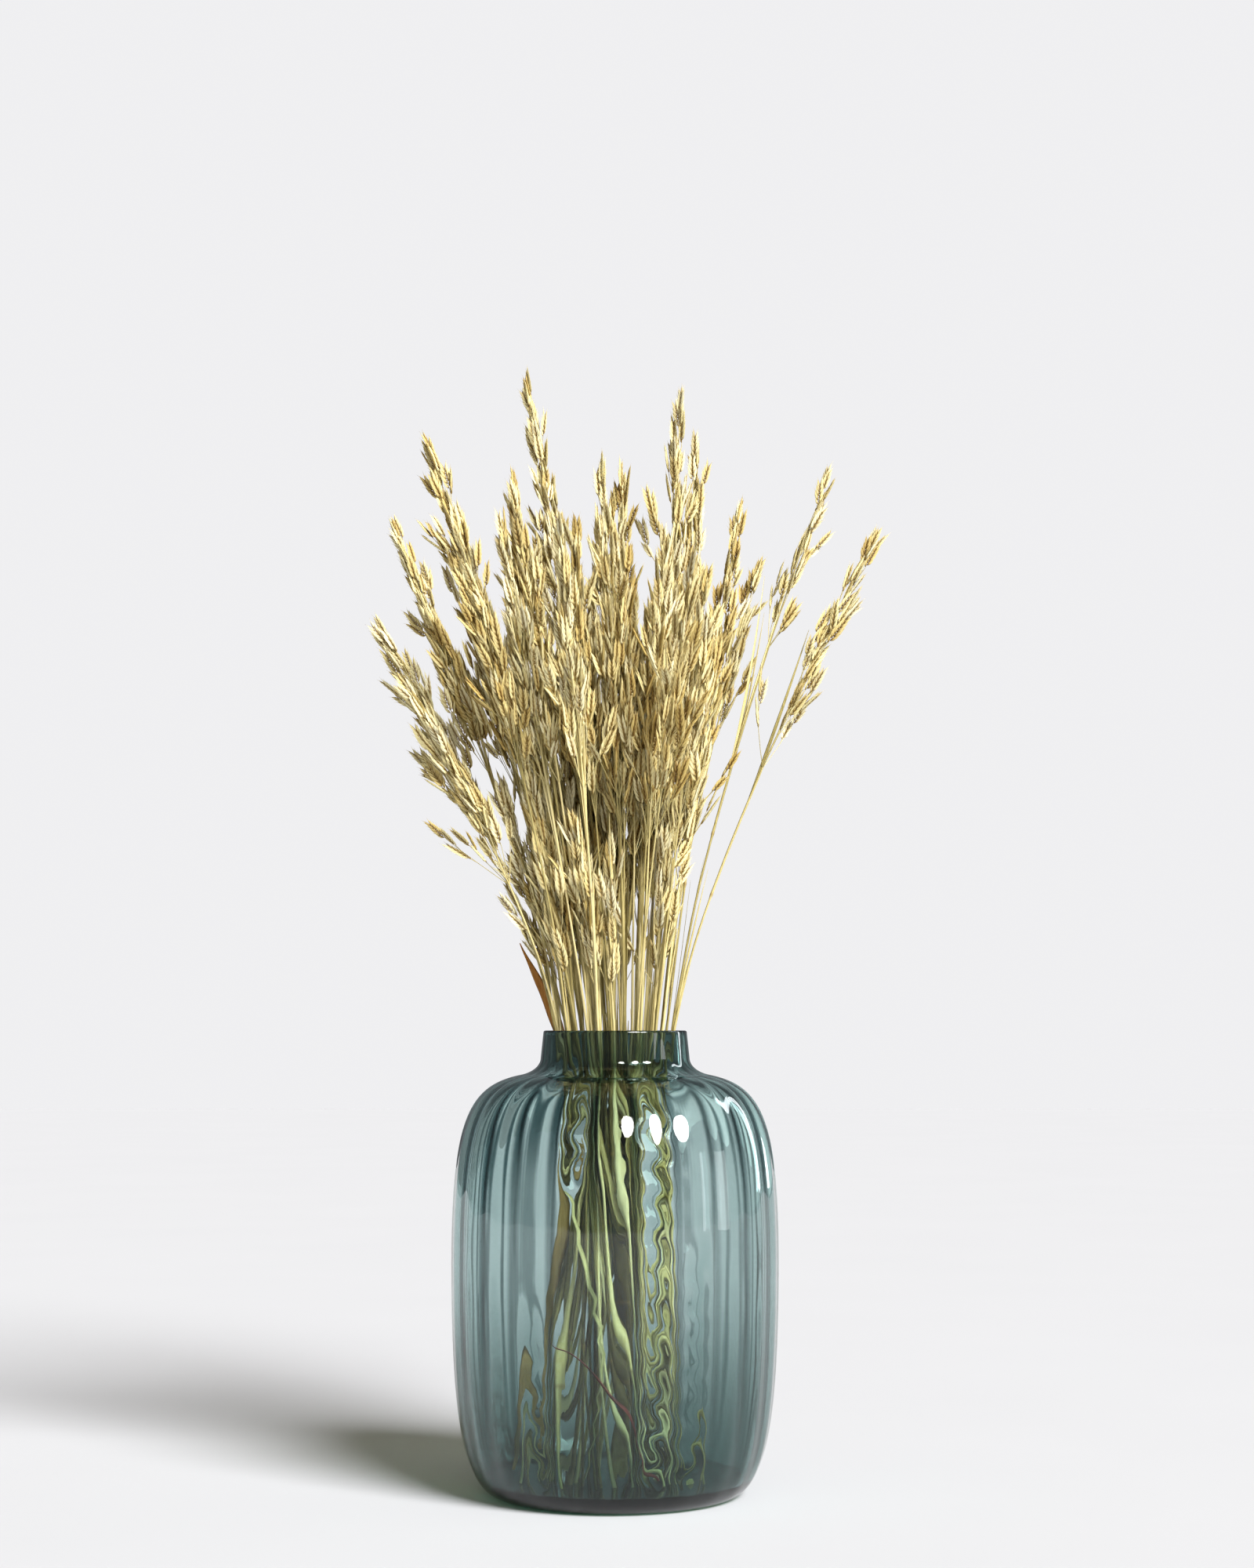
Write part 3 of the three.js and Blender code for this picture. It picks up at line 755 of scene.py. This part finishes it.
def blade(skeleton, start, heading, away, chance, length, half_width):
    """A dry leaf blade that leaves its sheath, bends out and twists."""
    steps = 8
    places, girths, faces = [np.array(start)], [], []
    across = unit(np.cross(heading, away))
    turn = chance.uniform(-0.6, 0.6)
    twist = chance.uniform(-1.3, 1.3)
    lean = chance.uniform(0.0, 0.02)
    for step in range(steps):
        share = step / (steps - 1)
        free = places[-1][2] > VASE_HEIGHT  # inside the vase it stays along its culm
        heading = unit(heading + away * lean * (1.4 - share) * free)
        places.append(places[-1] + heading * length / steps)
        girths.append(half_width * min(0.55 + 1.8 * share, 1.0, 1.45 * (1.04 - share) ** 0.8))
        angle = turn + twist * share
        faces.append(across * math.sin(angle) + away * math.cos(angle))
    hue = chance.random()
    start = len(skeleton.points)
    for place, girth, face in zip(places, girths, faces):
        skeleton.add_point(place, side=face, girth=girth, hue=hue, flat=1)
    skeleton.edges += [(start + k, start + k + 1) for k in range(steps - 1)]


def branch(skeleton, foot, grain, away, chance, reach, spread, droop, mood):
    """One branch of a panicle with the spikelets on it."""
    path = [foot]
    heading = unit(grain * math.cos(spread) + away * math.sin(spread))
    down = np.array((0, 0, -1.0))
    for step in range(4):
        heading = unit(heading - away * 0.04 * step + down * droop * 0.05 * step)
        path.append(path[-1] + heading * reach / 4)
    hue = chance.random()
    skeleton.add_run(path, [0.24 * MM, 0.21 * MM, 0.19 * MM, 0.17 * MM, 0.15 * MM], hue=hue)
    across = unit(np.cross(heading, away))
    ends = [(path[-1], heading)]
    if reach > 15 * MM:
        ends.append((path[2], unit(heading + away * 0.22 + across * chance.uniform(-0.2, 0.2))))
    if reach > 27 * MM:
        ends.append((path[3], unit(heading - away * 0.16 + across * chance.uniform(-0.3, 0.3))))
    for place, aim in ends:
        if place is not path[-1]:
            stalk = place + aim * chance.uniform(2, 6) * MM
            skeleton.add_run([place, stalk], [0.16 * MM, 0.14 * MM], hue=hue)
            place = stalk
        roll = chance.uniform(0, math.pi)
        side = across * math.cos(roll) + unit(np.cross(aim, across)) * math.sin(roll)
        skeleton.add_point(
            place, aim=unit(aim + 0.06 * side), side=side, site=1,
            size=chance.uniform(0.85, 1.15), kind=chance.randrange(len(SPIKELETS)),
            hue=min(max(mood + hue * 0.5 + chance.uniform(0, 0.5), 0), 1))


GOLDEN_ANGLE = 2.399963
TIP_SPIKELET = 17 * MM


def panicle(skeleton, axis, chance, fullness, droop):
    """Whorls of branches along the axis, from its foot to its tip."""
    lengths = np.concatenate([[0], np.cumsum(np.linalg.norm(np.diff(axis, axis=0), axis=1))])
    total = lengths[-1]
    rachis = total - TIP_SPIKELET
    mood = chance.uniform(-0.2, 0.2) + (0.15 if fullness < 1 else 0)

    def at(run):
        return np.array([np.interp(run, lengths, axis[:, k]) for k in range(3)])

    run, turn = 2 * MM, chance.uniform(0, 2 * math.pi)
    while run < rachis - 3 * MM:
        share = run / rachis
        foot = at(run)
        grain = unit(at(run + 6 * MM) - at(run - 6 * MM))
        across = unit(np.cross(grain, (0.3, 1, 0.1)))
        beside = np.cross(grain, across)
        crowd = max(1, round(fullness * (5.2 - 3.9 * share) + chance.uniform(-0.5, 0.5)))
        for _ in range(crowd):
            turn += GOLDEN_ANGLE + chance.uniform(-0.5, 0.5)
            away = across * math.cos(turn) + beside * math.sin(turn)
            reach = (rachis - run) * 0.29 * chance.uniform(0.35, 1.15) + 6 * MM
            wild = chance.random() < 0.2
            spread = math.radians(chance.uniform(20, 36) if wild else chance.uniform(7, 20))
            branch(skeleton, foot, grain, away, chance, reach, spread, droop, mood)
        run += (17 - 9 * share) * MM * chance.uniform(0.85, 1.2)
    for end, lean, kind in ((rachis - 9 * MM, 0.25, 0), (rachis, 0.03, 3)):
        grain = unit(at(end) - at(end - 6 * MM))
        side = unit(np.cross(grain, (0.3, 1, 0.1)))
        skeleton.add_point(at(end), aim=unit(grain + side * lean), side=side, site=1, size=0.95,
                           kind=kind, hue=chance.random())


def grass_stem(node, number):
    """One whole stem on its solid's axis: the culm with its knees, its blades and its panicle."""
    chance = random.Random(number)
    line = centre_line(node)
    # These three lean out on the right, clear of the bunch, with open panicles.
    alone = node in ("stray_stem_01", "stray_stem_02", "stray_stem_03")
    whole = smooth_path(line, 6)
    heights = whole[:, 2]

    def at(height):
        return np.array([np.interp(height, heights, whole[:, k]) for k in range(3)])

    foot = line[PANICLE_RING][2]
    foot -= 6 * MM if alone else min(PANICLE_DROP, 0.35 * (foot - VASE_HEIGHT))
    culm, axis = whole[heights <= foot], whole[heights > foot]
    last = culm[-1][2] - 12 * MM
    knees = [chance.uniform(60, 110), chance.uniform(190, 240), chance.uniform(330, 380)]
    knees = [knee * MM for knee in knees if knee * MM < last]
    tip = heights[-1] - TIP_SPIKELET
    levels = [z for z in heights if z < tip] + [tip]
    for knee in knees:
        levels += [knee - 2 * MM, knee, knee + 2 * MM, knee + 5 * MM]
    levels = np.unique(levels)
    taper = np.interp(levels, [heights[0], culm[-1][2], tip], CULM_RADII)
    skeleton = Skeleton()
    hue = chance.random()
    for z, radius in zip(levels, taper):
        near = min([abs(z - knee) for knee in knees], default=1)
        skeleton.add_point(
            at(z), girth=culm_girth(z, knees, radius), hue=hue, joint=float(near < 1 * MM))
    skeleton.edges += [(k, k + 1) for k in range(len(levels) - 1)]
    for knee in knees:
        inside_vase = knee < knees[-1] and knee < 120 * MM
        for _ in range(chance.choice((3, 4)) if inside_vase else chance.choice((1, 2, 3))):
            top = min(knee + chance.uniform(15, 70) * MM, last)
            turn = chance.uniform(0, 2 * math.pi)
            away = np.array((math.cos(turn), math.sin(turn), 0))
            heading = unit(at(top) - at(knee))
            widest = 2.4 if inside_vase else 1.3
            blade(skeleton, at(top), heading, away, chance, chance.uniform(70, 150) * MM,
                  chance.uniform(0.6, widest) * MM)
    # The stems that lean out on the left carry the fullest panicles.
    lush = 1.35 if axis[:, 0].mean() < -45 * MM else 1.05
    panicle(skeleton, axis, chance, 0.72 if alone else lush, chance.uniform(0.2, 1.0))
    mesh = grow(f"{node}_grown", skeleton.mesh(node), stem_tree, stem_ids, {
        "Spikelets": spikelets, "Sides": 5, "Blade Section": blade_section})
    stem = bpy.data.objects.new(f"{node}_grown", mesh)
    bpy.context.scene.collection.objects.link(stem)
    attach(stem, "root")
    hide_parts(node)


stem_nodes = [node for node in sorted(frame["nodes"]) if "_stem_" in node]
for number, node in enumerate(stem_nodes):
    grass_stem(node, number)


# ---- Leaf blades ------------------------------------------------------------------------------
# Four loose blades that dried among the stems: an orange-brown one that curls over the rim, a
# broad pale strap, a browned one and a dark red one, all folded along the midrib.
leaf_tree, given, leaf_ids = new_tree("leaf", {
    "Section": "NodeSocketObject", "Skin": "NodeSocketMaterial"})
end_tree(leaf_tree, strips(leaf_tree, given["Geometry"], given["Section"]), given["Skin"])


def leaf_material(name, dark, mid, light):
    """Dry leaf: lengthwise veins and blotches."""
    material, tree = new_material(name)
    place = Wire.node(tree, "ShaderNodeTexCoord", output=3)
    drawn = Wire.node(tree, "ShaderNodeMapping", None, {"Vector": place, "Scale": (1, 1, 0.06)})
    vein = Wire.node(tree, "ShaderNodeTexNoise", None, {
        "Vector": drawn, "Scale": 1500.0, "Detail": 2.0})
    blotch = Wire.node(tree, "ShaderNodeTexNoise", None, {
        "Vector": place, "Scale": 60.0, "Detail": 3.0})
    tone = Wire.node(tree, "ShaderNodeValToRGB", {
        "stops": [(0.15, dark), (0.5, mid), (0.9, light)]}, {0: vein * 0.5 + blotch * 0.5})
    bump = Wire.node(tree, "ShaderNodeBump", None, {
        "Strength": 0.5, "Distance": 0.0004, "Height": vein})
    skin = Wire.node(tree, "ShaderNodeBsdfPrincipled", None, {
        "Base Color": tone, "Roughness": 0.40 + blotch * 0.3, "Normal": bump})
    thin = Wire.node(tree, "ShaderNodeBsdfTranslucent", None, {"Color": (*light, 1)})
    finish_material(tree, Wire.node(tree, "ShaderNodeMixShader", None, {0: 0.15, 1: skin, 2: thin}))
    return material


def loose_leaf(node, half_width, turns, material):
    """A blade along its solid's middle, which turns from the first angle to the last."""
    mesh = frame["nodes"][node].data
    points = np.unique(np.round([tuple(v.co) for v in mesh.vertices], 6), axis=0)
    steps = 22
    levels = np.linspace(points[:, 2].min() + 1 * MM, points[:, 2].max() - 1 * MM, steps)
    skeleton = Skeleton()
    for step, level in enumerate(levels):
        weight = np.exp(-(((points[:, 2] - level) / (5 * MM)) ** 2))[:, None]
        x, y, _ = (points * weight).sum(axis=0) / weight.sum()
        share = step / (steps - 1)
        angle = math.radians(turns[0] + (turns[1] - turns[0]) * share)
        width = half_width * min(0.4 + 2.4 * share, 1, 1.06 - 0.95 * max(2 * share - 1, 0) ** 1.3)
        width *= 1 + 0.08 * math.sin(19 * share)
        skeleton.add_point((x, y, level), side=(-math.sin(angle), math.cos(angle), 0), girth=width)
    skeleton.edges += [(k, k + 1) for k in range(steps - 1)]
    mesh = grow(f"{node}_grown", skeleton.mesh(node), leaf_tree, leaf_ids, {
        "Section": blade_section, "Skin": material})
    leaf = bpy.data.objects.new(f"{node}_grown", mesh)
    bpy.context.scene.collection.objects.link(leaf)
    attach(leaf, "root")
    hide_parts(node)


orange = leaf_material("orange_leaf", (0.26, 0.09, 0.02), (0.64, 0.28, 0.06), (0.85, 0.56, 0.24))
pale = leaf_material("pale_leaf", (0.38, 0.36, 0.16), (0.62, 0.57, 0.28), (0.80, 0.76, 0.48))
browned = leaf_material("brown_leaf", (0.16, 0.09, 0.025), (0.40, 0.25, 0.08), (0.60, 0.46, 0.20))
red = leaf_material("red_leaf", (0.09, 0.008, 0.01), (0.30, 0.025, 0.025), (0.48, 0.09, 0.06))
loose_leaf("leaf_blade_over_rim", 3.4 * MM, (70, 130), orange)
loose_leaf("leaf_blade_broad", 5.5 * MM, (10, -30), pale)
loose_leaf("leaf_blade_brown", 3.5 * MM, (70, 120), browned)
loose_leaf("leaf_blade_red", 4.5 * MM, (-10, 25), red)


# The seed husk, the blades' section and the loose spikelets were only patterns for the trees.
for pattern in [husk, blade_section, *spikelets.objects]:
    bpy.data.objects.remove(pattern)
